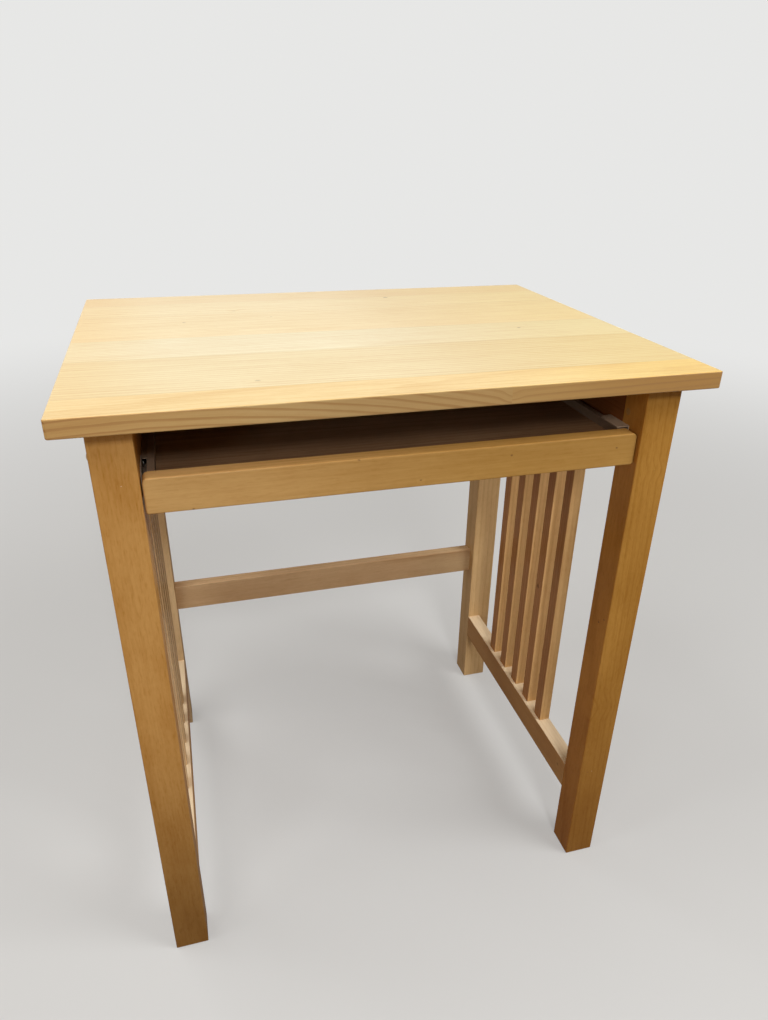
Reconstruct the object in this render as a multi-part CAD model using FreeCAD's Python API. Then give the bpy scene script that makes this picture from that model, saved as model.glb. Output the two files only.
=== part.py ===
import FreeCAD, Part
import math
import os

# A small sewing desk in the shaker manner: square legs, slatted sides, a
# glued desktop and a shallow pull-out tray on roller runners.
# X runs to the right, Y to the back and Z up, in millimetres. The origin is
# on the floor, under the middle of the desktop.

# Desktop
desk_height = 762.0
desktop_width = 680.0
desktop_depth = 533.0
desktop_thickness = 19.0
desktop_corner_radius = 3.0
desktop_easing = 1.5
side_overhang = 28.0
front_overhang = 25.0
back_overhang = 23.0
# Where the glue lines between its boards lie, from the front edge
glue_line_shares = (0.10, 0.34, 0.503, 0.754, 0.887)

# Legs
leg_size = 42.0
leg_easing = 1.2
foot_chamfer = 1.5

# Side rails, flush with the inner faces of the legs
rail_thickness = 23.0
upper_rail_height = 96.0
lower_rail_height = 44.0
lower_rail_top = 146.0
rail_easing = 1.5

# Slats, grouped in the middle of each side
slat_count = 5
slat_thickness = 17.0
slat_width = 20.5
slat_spacing = 46.5
slat_setback = 5.5
slat_housing_depth = 8.0
slat_easing = 1.2

# Cross rails at the back
cross_rail_thickness = 20.0
cross_rail_setback = 16.0
stretcher_height = 45.0
stretcher_top = 288.0

# Tenons, and the pegs that pin the upper ones
tenon_thickness = 11.0
tenon_shoulder = 6.0
cross_tenon_length = 20.0
mortise_wall = 1.5
tenon_end_gap = 1.0
joint_clearance = 0.15
peg_diameter = 8.0
peg_head_diameter = 13.0
peg_head_height = 5.0
peg_head_rim = 1.0
peg_drop = 40.0

# Tray
tray_drop = 56.5
tray_board_setback = 5.0
tray_board_thickness = 20.0
tray_board_height = 38.0
tray_board_top_corner = 6.0
tray_board_bottom_corner = 3.0
tray_board_front_round = 1.8
tray_board_back_round = 1.5
tray_side_gap = 1.5
tray_panel_step = 11.0
tray_panel_thickness = 18.0
dowel_count = 4
dowel_diameter = 8.0
dowel_in_board = 12.0
dowel_in_panel = 22.0
dowel_end_margin = 60.0

# Runners, folded from thin steel
runner_space = 14.0
runner_sheet = 1.2
runner_bend = 0.9
runner_front_gap = 1.5
# From the runners' back ends to the back top rail
runner_back_gap = 32.5
channel_lift = 1.5
channel_reach = 11.0
tray_flange_reach = 7.5
tray_foot_reach = 12.0
flange_clearance = 2.3
roller_bay = 44.0
hold_down_length = 40.0
hold_down_reach = 16.0
hold_down_clearance = 1.0
hold_down_chamfer = 5.0
# The tabs that end the tray's travel, which leave it 300 mm
out_stop_setback = 30.0
stop_height = 3.5
stop_clearance = 0.5

# Rollers and their axles
roller_diameter = 20.0
roller_width = 8.0
roller_groove = 1.2
roller_inset = 14.0
roller_gap = 0.3
roller_play = 0.8
roller_side_play = 0.4
axle_diameter = 4.0
axle_clearance = 0.1
axle_head_diameter = 7.0
axle_head_thickness = 0.8
axle_head_gap = 0.2

# Screws
screw_diameter = 4.0
screw_length = 15.0
screw_head_diameter = 7.0
screw_head_height = 1.3
screw_clearance = 0.1
screws_per_runner = 3
runner_screw_margin = 60.0
desktop_screw_diameter = 4.5
desktop_screw_head_diameter = 9.0
desktop_screw_head_height = 3.0
desktop_screw_grip = 26.0
desktop_screw_bite = 12.0
counterbore_diameter = 10.0
desktop_screw_margin = 25.0
back_screw_margin = 120.0

# All cuts run past the faces that they open by this much
overrun = 1.0

# The frame's faces
desktop_underside = desk_height - desktop_thickness
desktop_front_y = -desktop_depth / 2
leg_outer_x = desktop_width / 2 - side_overhang
leg_inner_x = leg_outer_x - leg_size
frame_front_y = desktop_front_y + front_overhang
frame_back_y = desktop_depth / 2 - back_overhang
side_front_y = frame_front_y + leg_size
side_back_y = frame_back_y - leg_size
side_middle_y = (side_front_y + side_back_y) / 2
upper_rail_bottom = desktop_underside - upper_rail_height
lower_rail_bottom = lower_rail_top - lower_rail_height
rail_outer_x = leg_inner_x + rail_thickness
rail_middle_x = leg_inner_x + rail_thickness / 2
cross_front_y = side_back_y + cross_rail_setback
cross_back_y = cross_front_y + cross_rail_thickness
cross_middle_y = cross_front_y + cross_rail_thickness / 2
stretcher_bottom = stretcher_top - stretcher_height

# The side rails' tenons stop short of the cross rails' mortises
side_tenon_length = (
    cross_rail_setback
    + (cross_rail_thickness - tenon_thickness) / 2
    - tenon_end_gap
    - mortise_wall
)
peg_z = desktop_underside - peg_drop
front_peg_y = side_front_y - side_tenon_length / 2
back_peg_y = side_back_y + side_tenon_length / 2

# The tray and its runners, on the right side
tray_board_top = desktop_underside - tray_drop
tray_board_bottom = tray_board_top - tray_board_height
tray_front_y = frame_front_y + tray_board_setback
tray_board_back_y = tray_front_y + tray_board_thickness
tray_board_half = leg_inner_x - tray_side_gap
panel_top = tray_board_top - tray_panel_step
panel_bottom = panel_top - tray_panel_thickness
panel_middle_z = panel_top - tray_panel_thickness / 2
panel_half = leg_inner_x - runner_space
fixed_front_y = tray_board_back_y + runner_front_gap
fixed_back_y = cross_front_y - runner_back_gap
runner_length = fixed_back_y - fixed_front_y
panel_back_y = tray_board_back_y + runner_length
roller_radius = roller_diameter / 2
channel_bottom = panel_bottom + channel_lift
channel_floor = channel_bottom + runner_sheet
channel_ceiling = channel_floor + roller_gap + roller_diameter + roller_play
channel_top = channel_ceiling + runner_sheet
tray_flange_bottom = channel_top + flange_clearance
tray_flange_top = tray_flange_bottom + runner_sheet
channel_front_y = fixed_front_y + roller_bay
fixed_web_x = leg_inner_x - runner_sheet
channel_edge_x = leg_inner_x - channel_reach
tray_web_x = panel_half + runner_sheet
front_roller_y = fixed_front_y + roller_inset
front_roller_z = tray_flange_bottom - roller_gap - roller_radius
rear_roller_y = panel_back_y - roller_inset
rear_roller_z = channel_floor + roller_gap + roller_radius


def point(x, y, z):
    return FreeCAD.Vector(x, y, z)


along_x = point(1, 0, 0)
along_y = point(0, 1, 0)
along_z = point(0, 0, 1)


def block(x0, x1, y0, y1, z0, z1):
    """A box between six faces."""
    return Part.makeBox(x1 - x0, y1 - y0, z1 - z0, point(x0, y0, z0))


def edges_along(shape, direction):
    """The straight edges of a shape that run along a direction."""
    found = []
    for edge in shape.Edges:
        if isinstance(edge.Curve, Part.Line):
            if edge.Curve.Direction.cross(direction).Length < 1e-6:
                found.append(edge)
    return found


def edges_near(shape, edges_in, test):
    """Those of some edges of a shape whose middles pass a test."""
    return [edge for edge in edges_in if test(edge.CenterOfMass)]


def left_of(shape):
    """The same piece on the desk's other side."""
    return shape.mirror(point(0, 0, 0), along_x)


def on_both_sides(shape):
    return [left_of(shape), shape]


def rod(start, direction, length, radius):
    return Part.makeCylinder(radius, length, start, direction)


def extruded(outline, direction):
    """A solid from a closed outline of points."""
    wire = Part.makePolygon(outline + outline[:1])
    return Part.Face(wire).extrude(direction)


def spaced(first, last, count):
    """Places at even steps from the first to the last."""
    step = (last - first) / max(count - 1, 1)
    return [first + step * index for index in range(count)]


# Desktop

def desktop_panel():
    half_width = desktop_width / 2
    half_depth = desktop_depth / 2
    panel = block(-half_width, half_width, -half_depth, half_depth, desktop_underside, desk_height)
    panel = panel.makeFillet(desktop_corner_radius, edges_along(panel, along_z))
    rims = edges_near(panel, panel.Edges, lambda middle: middle.z > desk_height - desktop_easing)
    panel = panel.makeFillet(desktop_easing, rims)
    rims = edges_near(panel, panel.Edges, lambda middle: middle.z < desktop_underside + desktop_easing)
    return panel.makeFillet(desktop_easing, rims)


def desktop_boards():
    """The desktop cut along its glue lines, the front board first."""
    panel = desktop_panel()
    for hole in desktop_screw_holes():
        panel = panel.cut(hole)
    lines = [0.0] + list(glue_line_shares) + [1.0]
    boards = []
    for start, end in zip(lines, lines[1:]):
        strip = block(
            -desktop_width, desktop_width,
            desktop_front_y + start * desktop_depth, desktop_front_y + end * desktop_depth,
            desktop_underside - overrun, desk_height + overrun,
        )
        boards.append(panel.common(strip).Solids[0])
    return boards


# Frame

def blank_leg(front_y):
    leg = block(leg_inner_x, leg_outer_x, front_y, front_y + leg_size, 0, desktop_underside)
    leg = leg.makeFillet(leg_easing, edges_along(leg, along_z))
    rim = edges_near(leg, leg.Edges, lambda middle: middle.z < foot_chamfer)
    return leg.makeChamfer(foot_chamfer, rim)


def side_mortise(shoulder_y, inward, rail_bottom, rail_top):
    """The space for a side rail's tenon, with its clearance all round."""
    deep_y = shoulder_y + inward * (side_tenon_length + tenon_end_gap)
    open_y = shoulder_y - inward * overrun
    half = tenon_thickness / 2 + joint_clearance
    return block(
        rail_middle_x - half, rail_middle_x + half,
        min(deep_y, open_y), max(deep_y, open_y),
        rail_bottom + tenon_shoulder - joint_clearance, rail_top - tenon_shoulder + joint_clearance,
    )


def cross_mortise(rail_bottom, rail_top):
    """The space for a cross rail's tenon in the right back leg."""
    half = tenon_thickness / 2 + joint_clearance
    return block(
        leg_inner_x - overrun, leg_inner_x + cross_tenon_length + tenon_end_gap,
        cross_middle_y - half, cross_middle_y + half,
        rail_bottom + tenon_shoulder - joint_clearance, rail_top - tenon_shoulder + joint_clearance,
    )


def peg_hole(peg_y):
    start = point(leg_inner_x - overrun, peg_y, peg_z)
    return rod(start, along_x, leg_size + 2 * overrun, peg_diameter / 2 + joint_clearance)


def front_leg():
    leg = blank_leg(frame_front_y)
    leg = leg.cut(side_mortise(side_front_y, -1, lower_rail_bottom, lower_rail_top))
    leg = leg.cut(side_mortise(side_front_y, -1, upper_rail_bottom, desktop_underside))
    return leg.cut(peg_hole(front_peg_y))


def back_leg():
    leg = blank_leg(side_back_y)
    leg = leg.cut(side_mortise(side_back_y, 1, lower_rail_bottom, lower_rail_top))
    leg = leg.cut(side_mortise(side_back_y, 1, upper_rail_bottom, desktop_underside))
    leg = leg.cut(cross_mortise(stretcher_bottom, stretcher_top))
    leg = leg.cut(cross_mortise(upper_rail_bottom, desktop_underside))
    return leg.cut(peg_hole(back_peg_y))


def side_rail(rail_bottom, rail_top):
    """A rail between two legs, with a tenon at each end."""
    rail = block(leg_inner_x, rail_outer_x, side_front_y, side_back_y, rail_bottom, rail_top)
    rail = rail.makeFillet(rail_easing, edges_along(rail, along_y))
    half = tenon_thickness / 2
    tongue = block(
        rail_middle_x - half, rail_middle_x + half,
        side_front_y - side_tenon_length, side_back_y + side_tenon_length,
        rail_bottom + tenon_shoulder, rail_top - tenon_shoulder,
    )
    return rail.fuse(tongue).removeSplitter()


def slat_places():
    """The middles of the slats, the front one first."""
    reach = slat_spacing * (slat_count - 1) / 2
    return spaced(side_middle_y - reach, side_middle_y + reach, slat_count)


def slat_space(middle_y, clearance, bottom, top):
    """The room that a slat takes, with some clearance round it."""
    inner_x = leg_inner_x + slat_setback
    return block(
        inner_x - clearance, inner_x + slat_thickness + clearance,
        middle_y - slat_width / 2 - clearance, middle_y + slat_width / 2 + clearance,
        bottom, top,
    )


def lower_rail():
    rail = side_rail(lower_rail_bottom, lower_rail_top)
    for middle_y in slat_places():
        housing = slat_space(
            middle_y, joint_clearance, lower_rail_top - slat_housing_depth, lower_rail_top + overrun)
        rail = rail.cut(housing)
    return rail


def upper_rail():
    rail = side_rail(upper_rail_bottom, desktop_underside)
    for middle_y in slat_places():
        housing = slat_space(
            middle_y, joint_clearance, upper_rail_bottom - overrun, upper_rail_bottom + slat_housing_depth)
        rail = rail.cut(housing)
    for peg_y in (front_peg_y, back_peg_y):
        rail = rail.cut(peg_hole(peg_y))
    for hole in fixed_screw_holes() + desktop_screw_holes():
        rail = rail.cut(hole)
    return rail


def slat(middle_y):
    """It stands on the floor of its housing below and has room above."""
    piece = slat_space(
        middle_y, 0,
        lower_rail_top - slat_housing_depth,
        upper_rail_bottom + slat_housing_depth - tenon_end_gap,
    )
    return piece.makeFillet(slat_easing, edges_along(piece, along_z))


def cross_rail(rail_bottom, rail_top):
    """A rail between the back legs, with a tenon at each end."""
    rail = block(-leg_inner_x, leg_inner_x, cross_front_y, cross_back_y, rail_bottom, rail_top)
    rail = rail.makeFillet(rail_easing, edges_along(rail, along_x))
    half = tenon_thickness / 2
    reach = leg_inner_x + cross_tenon_length
    tongue = block(
        -reach, reach, cross_middle_y - half, cross_middle_y + half,
        rail_bottom + tenon_shoulder, rail_top - tenon_shoulder,
    )
    return rail.fuse(tongue).removeSplitter()


def back_top_rail():
    rail = cross_rail(upper_rail_bottom, desktop_underside)
    for hole in desktop_screw_holes():
        rail = rail.cut(hole)
    return rail


def rail_peg(peg_y):
    """A peg through leg and tenon, with a domed head outside the leg."""
    shaft = rod(point(leg_inner_x, peg_y, peg_z), along_x, leg_size, peg_diameter / 2)
    head_radius = peg_head_diameter / 2
    rim_x = leg_outer_x + peg_head_rim
    crown_x = leg_outer_x + peg_head_height
    dome_height = peg_head_height - peg_head_rim
    dome_radius = (head_radius ** 2 + dome_height ** 2) / (2 * dome_height)
    half_turn = math.asin(min(head_radius / dome_radius, 1)) / 2
    middle = point(
        crown_x - dome_radius * (1 - math.cos(half_turn)), 0, dome_radius * math.sin(half_turn))
    rim = point(rim_x, 0, head_radius)
    crown = point(crown_x, 0, 0)
    outline = Part.Wire([
        Part.LineSegment(point(leg_outer_x, 0, 0), point(leg_outer_x, 0, head_radius)).toShape(),
        Part.LineSegment(point(leg_outer_x, 0, head_radius), rim).toShape(),
        Part.Arc(rim, middle, crown).toShape(),
        Part.LineSegment(crown, point(leg_outer_x, 0, 0)).toShape(),
    ])
    head = Part.Face(outline).revolve(point(0, 0, 0), along_x, 360)
    head.translate(point(0, peg_y, peg_z))
    return shaft.fuse(head).removeSplitter()


def rail_pegs():
    pegs = []
    for peg_y in (front_peg_y, back_peg_y):
        pegs += on_both_sides(rail_peg(peg_y))
    return pegs


# Tray

def tray_front_board():
    """A board with soft ends and a rounded front, and blind dowel holes."""
    half = tray_board_half
    board = block(
        -half, half, tray_front_y, tray_board_back_y, tray_board_bottom, tray_board_top)
    middle_z = (tray_board_top + tray_board_bottom) / 2
    ends = edges_along(board, along_y)
    board = board.makeFillet(
        tray_board_top_corner, edges_near(board, ends, lambda middle: middle.z > middle_z))
    ends = edges_near(
        board, edges_along(board, along_y),
        lambda middle: middle.z < tray_board_bottom + tray_board_bottom_corner / 2)
    board = board.makeFillet(tray_board_bottom_corner, ends)
    face_depth = tray_board_thickness / 2
    front = edges_near(
        board, board.Edges, lambda middle: middle.y < tray_front_y + face_depth / 2)
    board = board.makeFillet(tray_board_front_round, front)
    back = edges_near(
        board, board.Edges, lambda middle: middle.y > tray_board_back_y - face_depth / 2)
    board = board.makeFillet(tray_board_back_round, back)
    for hole in dowel_holes():
        board = board.cut(hole)
    return board


def tray_panel():
    panel = block(
        -panel_half, panel_half, tray_board_back_y, panel_back_y, panel_bottom, panel_top)
    for hole in dowel_holes():
        panel = panel.cut(hole)
    for hole in tray_screw_holes():
        panel = panel.cut(hole)
        panel = panel.cut(left_of(hole))
    return panel


def dowel_places():
    reach = panel_half - dowel_end_margin
    return spaced(-reach, reach, dowel_count)


def dowel_holes():
    holes = []
    length = dowel_in_board + dowel_in_panel + 2 * joint_clearance
    for x in dowel_places():
        start = point(x, tray_board_back_y - dowel_in_board - joint_clearance, panel_middle_z)
        holes.append(rod(start, along_y, length, dowel_diameter / 2 + joint_clearance))
    return holes


def tray_dowels():
    dowels = []
    for x in dowel_places():
        start = point(x, tray_board_back_y - dowel_in_board, panel_middle_z)
        dowels.append(rod(start, along_y, dowel_in_board + dowel_in_panel, dowel_diameter / 2))
    return dowels


# Runners, made for the right side

def folded_strip(outline, front_y, length):
    """A folded section run along the desk's depth, with its bends rounded."""
    wire_points = [point(x, front_y, z) for x, z in outline]
    return extruded(wire_points, point(0, length, 0))


def with_bends(strip, corners):
    """Round the long edges of a strip that lie on the given corners."""
    def on_a_corner(middle):
        return any(abs(middle.x - x) + abs(middle.z - z) < runner_sheet / 4 for x, z in corners)
    bends = edges_near(strip, edges_along(strip, along_y), on_a_corner)
    return strip.makeFillet(runner_bend, bends)


def channel_strip():
    """The fixed runner's channel, behind the bay of the front roller."""
    outline = [
        (leg_inner_x, channel_bottom), (channel_edge_x, channel_bottom),
        (channel_edge_x, channel_floor), (fixed_web_x, channel_floor),
        (fixed_web_x, channel_ceiling), (channel_edge_x, channel_ceiling),
        (channel_edge_x, channel_top), (leg_inner_x, channel_top),
    ]
    strip = folded_strip(outline, channel_front_y, fixed_back_y - channel_front_y)
    return with_bends(strip, [(leg_inner_x, channel_bottom), (leg_inner_x, channel_top)])


def roller_bay_strip(web_top):
    """The open stretch at the front, where the upper flange is cut away."""
    outline = [
        (leg_inner_x, channel_bottom), (channel_edge_x, channel_bottom),
        (channel_edge_x, channel_floor), (fixed_web_x, channel_floor),
        (fixed_web_x, web_top), (leg_inner_x, web_top),
    ]
    strip = folded_strip(outline, fixed_front_y, roller_bay)
    return with_bends(strip, [(leg_inner_x, channel_bottom)])


def runner_stop(back_y):
    """A tab turned up from the channel's floor, in the rear roller's way."""
    return block(
        channel_edge_x, fixed_web_x, back_y - runner_sheet, back_y,
        channel_floor, channel_floor + stop_height,
    )


def hold_down_plate():
    """The plate that keeps the right tray runner from lifting off its roller."""
    plate_bottom = tray_flange_top + hold_down_clearance
    inner_x = leg_inner_x - hold_down_reach
    back_y = fixed_front_y + hold_down_length
    outline = [
        point(leg_inner_x, fixed_front_y, plate_bottom),
        point(inner_x, fixed_front_y, plate_bottom),
        point(inner_x, back_y - hold_down_chamfer, plate_bottom),
        point(inner_x + hold_down_chamfer, back_y, plate_bottom),
        point(leg_inner_x, back_y, plate_bottom),
    ]
    return extruded(outline, point(0, 0, runner_sheet))


def fixed_runner(hold_down):
    """The channel screwed to the upper rail, with its stops."""
    web_top = tray_flange_top
    if hold_down:
        web_top = tray_flange_top + hold_down_clearance
    runner = channel_strip().fuse(roller_bay_strip(web_top))
    out_stop_y = channel_front_y + out_stop_setback
    in_stop_y = rear_roller_y + roller_radius + stop_clearance + runner_sheet
    runner = runner.fuse(runner_stop(out_stop_y))
    runner = runner.fuse(runner_stop(in_stop_y))
    if hold_down:
        runner = runner.fuse(hold_down_plate())
    for hole in fixed_screw_holes():
        runner = runner.cut(hole)
    return runner.removeSplitter()


def tray_runner():
    """The strip that carries the panel's edge and rides on the front roller."""
    flange_x = panel_half + tray_flange_reach
    outline = [
        (panel_half - tray_foot_reach, panel_bottom - runner_sheet),
        (tray_web_x, panel_bottom - runner_sheet),
        (tray_web_x, tray_flange_bottom), (flange_x, tray_flange_bottom),
        (flange_x, tray_flange_top), (panel_half, tray_flange_top),
        (panel_half, panel_bottom), (panel_half - tray_foot_reach, panel_bottom),
    ]
    strip = folded_strip(outline, tray_board_back_y, runner_length)
    strip = with_bends(
        strip, [(tray_web_x, panel_bottom - runner_sheet), (panel_half, tray_flange_top)])
    for hole in tray_screw_holes():
        strip = strip.cut(hole)
    return strip


# Rollers and axles, made for the right side

def roller(inner_x, y, z):
    """A nylon wheel with a shallow hollow in each face and a bored hub."""
    bore = axle_diameter / 2 + axle_clearance
    hub = axle_head_diameter / 2 + roller_groove / 2
    rim = roller_radius - roller_groove
    outer_x = inner_x + roller_width
    outline = [
        point(inner_x, 0, bore), point(inner_x, 0, hub),
        point(inner_x + roller_groove, 0, hub + roller_groove),
        point(inner_x + roller_groove, 0, rim - roller_groove),
        point(inner_x, 0, rim), point(inner_x + roller_groove, 0, roller_radius),
        point(outer_x - roller_groove, 0, roller_radius), point(outer_x, 0, rim),
        point(outer_x - roller_groove, 0, rim - roller_groove),
        point(outer_x - roller_groove, 0, hub + roller_groove),
        point(outer_x, 0, hub), point(outer_x, 0, bore),
    ]
    wheel = Part.Face(Part.makePolygon(outline + outline[:1]))
    wheel = wheel.revolve(point(0, 0, 0), along_x, 360)
    wheel.translate(point(0, y, z))
    return wheel


def axle(web_x, outward, y, z):
    """A rivet from a runner's web, with a thin head beyond the roller."""
    start = point(web_x, y, z)
    direction = point(outward, 0, 0)
    length = roller_side_play + roller_width + axle_head_gap
    shaft = rod(start, direction, length + axle_head_thickness, axle_diameter / 2)
    head_start = start + direction * length
    head = rod(head_start, direction, axle_head_thickness, axle_head_diameter / 2)
    return shaft.fuse(head).removeSplitter()


def front_roller():
    inner_x = fixed_web_x - roller_side_play - roller_width
    return roller(inner_x, front_roller_y, front_roller_z)


def rear_roller():
    return roller(tray_web_x + roller_side_play, rear_roller_y, rear_roller_z)


# Screws

def round_head_screw(start, direction):
    """A screw whose head bears on a face at the start and whose shank goes on."""
    shank = rod(start, direction, screw_length, screw_diameter / 2)
    head = rod(start, direction * -1, screw_head_height, screw_head_diameter / 2)
    crown = start - direction * screw_head_height
    rim = edges_near(
        head, head.Edges, lambda middle: (middle - crown).Length < screw_head_height / 2)
    head = head.makeFillet(screw_head_height / 2, rim)
    return shank.fuse(head).removeSplitter()


def screw_hole(start, direction):
    backed = start - direction * overrun
    length = overrun + screw_length + screw_clearance
    return rod(backed, direction, length, screw_diameter / 2 + screw_clearance)


def fixed_screw_places():
    places = spaced(
        fixed_front_y + runner_screw_margin, fixed_back_y - runner_screw_margin / 2, screws_per_runner)
    middle_z = (channel_floor + channel_ceiling) / 2
    return [point(fixed_web_x, y, middle_z) for y in places]


def tray_screw_places():
    places = spaced(
        tray_board_back_y + runner_screw_margin, panel_back_y - runner_screw_margin, screws_per_runner)
    return [point(tray_web_x, y, panel_middle_z) for y in places]


def fixed_screw_holes():
    return [screw_hole(place, along_x) for place in fixed_screw_places()]


def tray_screw_holes():
    return [screw_hole(place, along_x * -1) for place in tray_screw_places()]


def fixed_runner_screws():
    screws = []
    for place in fixed_screw_places():
        screws += on_both_sides(round_head_screw(place, along_x))
    return screws


def tray_runner_screws():
    screws = []
    for place in tray_screw_places():
        screws += on_both_sides(round_head_screw(place, along_x * -1))
    return screws


def desktop_screw_places():
    """Two through each upper side rail and two through the back one."""
    places = []
    for x in (-rail_middle_x, rail_middle_x):
        places.append((x, side_front_y + desktop_screw_margin))
        places.append((x, side_back_y - desktop_screw_margin))
    for x in (-leg_inner_x + back_screw_margin, leg_inner_x - back_screw_margin):
        places.append((x, cross_middle_y))
    return places


def desktop_screw_holes():
    """A deep counterbore from the rail's lower edge, then the shank's hole."""
    head_z = desktop_underside - desktop_screw_grip
    holes = []
    for x, y in desktop_screw_places():
        bore_start = point(x, y, upper_rail_bottom - overrun)
        bore_length = head_z - upper_rail_bottom + overrun
        bore = rod(bore_start, along_z, bore_length, counterbore_diameter / 2)
        shank_length = desktop_screw_grip + desktop_screw_bite + screw_clearance
        shank_radius = desktop_screw_diameter / 2 + screw_clearance
        shank = rod(point(x, y, head_z), along_z, shank_length, shank_radius)
        holes.append(bore.fuse(shank))
    return holes


def desktop_screws():
    head_z = desktop_underside - desktop_screw_grip
    screws = []
    for x, y in desktop_screw_places():
        length = desktop_screw_grip + desktop_screw_bite
        shank = rod(point(x, y, head_z), along_z, length, desktop_screw_diameter / 2)
        head_start = point(x, y, head_z - desktop_screw_head_height)
        head = rod(head_start, along_z, desktop_screw_head_height, desktop_screw_head_diameter / 2)
        screws.append(shank.fuse(head).removeSplitter())
    return screws


def save(name, shape):
    shape.exportStep(os.path.join("parts", name + ".step"))


def save_pair(name, right_shape):
    """Save a piece of the right side and its twin on the left."""
    save("right_" + name, right_shape)
    save("left_" + name, left_of(right_shape))


def save_group(name, solids):
    save(name, Part.makeCompound(solids))


def build():
    os.makedirs("parts", exist_ok=True)
    for number, board in enumerate(desktop_boards(), 1):
        save("desktop_board_" + str(number), board)

    front = front_leg()
    back = back_leg()
    save("front_right_leg", front)
    save("front_left_leg", left_of(front))
    save("back_right_leg", back)
    save("back_left_leg", left_of(back))
    save_pair("lower_rail", lower_rail())
    save_pair("upper_rail", upper_rail())
    for number, middle_y in enumerate(slat_places(), 1):
        save_pair("slat_" + str(number), slat(middle_y))
    save("back_stretcher", cross_rail(stretcher_bottom, stretcher_top))
    save("back_top_rail", back_top_rail())
    save_group("rail_pegs", rail_pegs())

    save("tray_front_board", tray_front_board())
    save("tray_panel", tray_panel())
    save_group("tray_dowels", tray_dowels())

    save("right_fixed_runner", fixed_runner(True))
    save("left_fixed_runner", left_of(fixed_runner(False)))
    save_pair("tray_runner", tray_runner())
    save_pair("front_roller", front_roller())
    save_pair("rear_roller", rear_roller())
    front_axle = axle(fixed_web_x, -1, front_roller_y, front_roller_z)
    rear_axle = axle(tray_web_x, 1, rear_roller_y, rear_roller_z)
    save_group("front_roller_axles", on_both_sides(front_axle))
    save_group("rear_roller_axles", on_both_sides(rear_axle))
    save_group("fixed_runner_screws", fixed_runner_screws())
    save_group("tray_runner_screws", tray_runner_screws())
    save_group("desktop_screws", desktop_screws())


build()
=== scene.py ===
import math
import random

import bpy
import bmesh
from mathutils import Matrix, Vector


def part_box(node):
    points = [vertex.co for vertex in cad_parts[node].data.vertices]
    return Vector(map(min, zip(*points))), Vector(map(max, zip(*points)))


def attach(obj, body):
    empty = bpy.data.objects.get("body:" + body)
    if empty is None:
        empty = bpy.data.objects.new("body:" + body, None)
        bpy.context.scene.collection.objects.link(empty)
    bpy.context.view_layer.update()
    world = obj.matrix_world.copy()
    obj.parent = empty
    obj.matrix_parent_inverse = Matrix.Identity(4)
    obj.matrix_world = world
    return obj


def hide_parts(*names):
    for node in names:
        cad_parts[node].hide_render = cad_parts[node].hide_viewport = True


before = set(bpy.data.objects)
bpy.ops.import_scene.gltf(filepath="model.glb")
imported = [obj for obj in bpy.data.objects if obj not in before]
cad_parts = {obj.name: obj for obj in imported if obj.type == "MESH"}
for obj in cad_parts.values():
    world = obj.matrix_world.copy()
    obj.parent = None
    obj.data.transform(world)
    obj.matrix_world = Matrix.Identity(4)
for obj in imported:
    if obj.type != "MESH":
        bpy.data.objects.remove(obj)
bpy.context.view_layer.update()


# Desktop: six maple boards glued edge to edge, 19 mm thick, with eased edges
# and a satin lacquer. Each board has its own colour and run of grain, and a
# few pin knots show. Screws through the rails hold it from below.

def add_node(tree, kind, values=(), **settings):
    """Place a shader node, set its options, and link or fill its sockets."""
    node = tree.nodes.new(kind)
    for option, choice in settings.items():
        setattr(node, option, choice)
    for socket, value in dict(values).items():
        if isinstance(value, bpy.types.NodeSocket):
            tree.links.new(value, node.inputs[socket])
        else:
            node.inputs[socket].default_value = value
    return node


def math_node(tree, operation, first, second=0.0, clamp=False):
    node = add_node(tree, "ShaderNodeMath", {0: first, 1: second},
                    operation=operation, use_clamp=clamp)
    return node.outputs[0]


def vector_node(tree, operation, first, second=(0, 0, 0)):
    return add_node(tree, "ShaderNodeVectorMath", {0: first, 1: second},
                    operation=operation)


def blend_colour(tree, share, first, second, blend="MIX"):
    """The second colour laid over the first by a share."""
    node = add_node(tree, "ShaderNodeMix", {0: share, 6: first, 7: second},
                    data_type="RGBA", blend_type=blend)
    return node.outputs[2]


def between(tree, value, low, high, out_low=0.0, out_high=1.0):
    """A smooth step of a value from low to high."""
    node = add_node(tree, "ShaderNodeMapRange",
                    {0: value, 1: low, 2: high, 3: out_low, 4: out_high},
                    interpolation_type="SMOOTHSTEP")
    return node.outputs[0]


def noise(tree, place, scale, detail=2.0, roughness=0.5):
    """Soft noise between zero and one."""
    node = add_node(tree, "ShaderNodeTexNoise",
                    {"Vector": place, "Scale": scale, "Detail": detail,
                     "Roughness": roughness})
    return node.outputs[0]


def along_grain(tree, place, squeeze):
    """The place squeezed along Z, so that noise runs long that way."""
    return vector_node(tree, "MULTIPLY", place, (1, 1, squeeze)).outputs[0]


def new_effect(name, inputs, outputs):
    """An empty node group with named sockets."""
    tree = bpy.data.node_groups.new(name, "ShaderNodeTree")
    kinds = {"vector": "NodeSocketVector", "number": "NodeSocketFloat",
             "colour": "NodeSocketColor"}
    for label, kind, default in inputs:
        socket = tree.interface.new_socket(
            label, in_out="INPUT", socket_type=kinds[kind])
        socket.default_value = default
    for label, kind in outputs:
        tree.interface.new_socket(
            label, in_out="OUTPUT", socket_type=kinds[kind])
    source = tree.nodes.new("NodeGroupInput")
    result = tree.nodes.new("NodeGroupOutput")
    return tree, source.outputs, result.inputs


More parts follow.
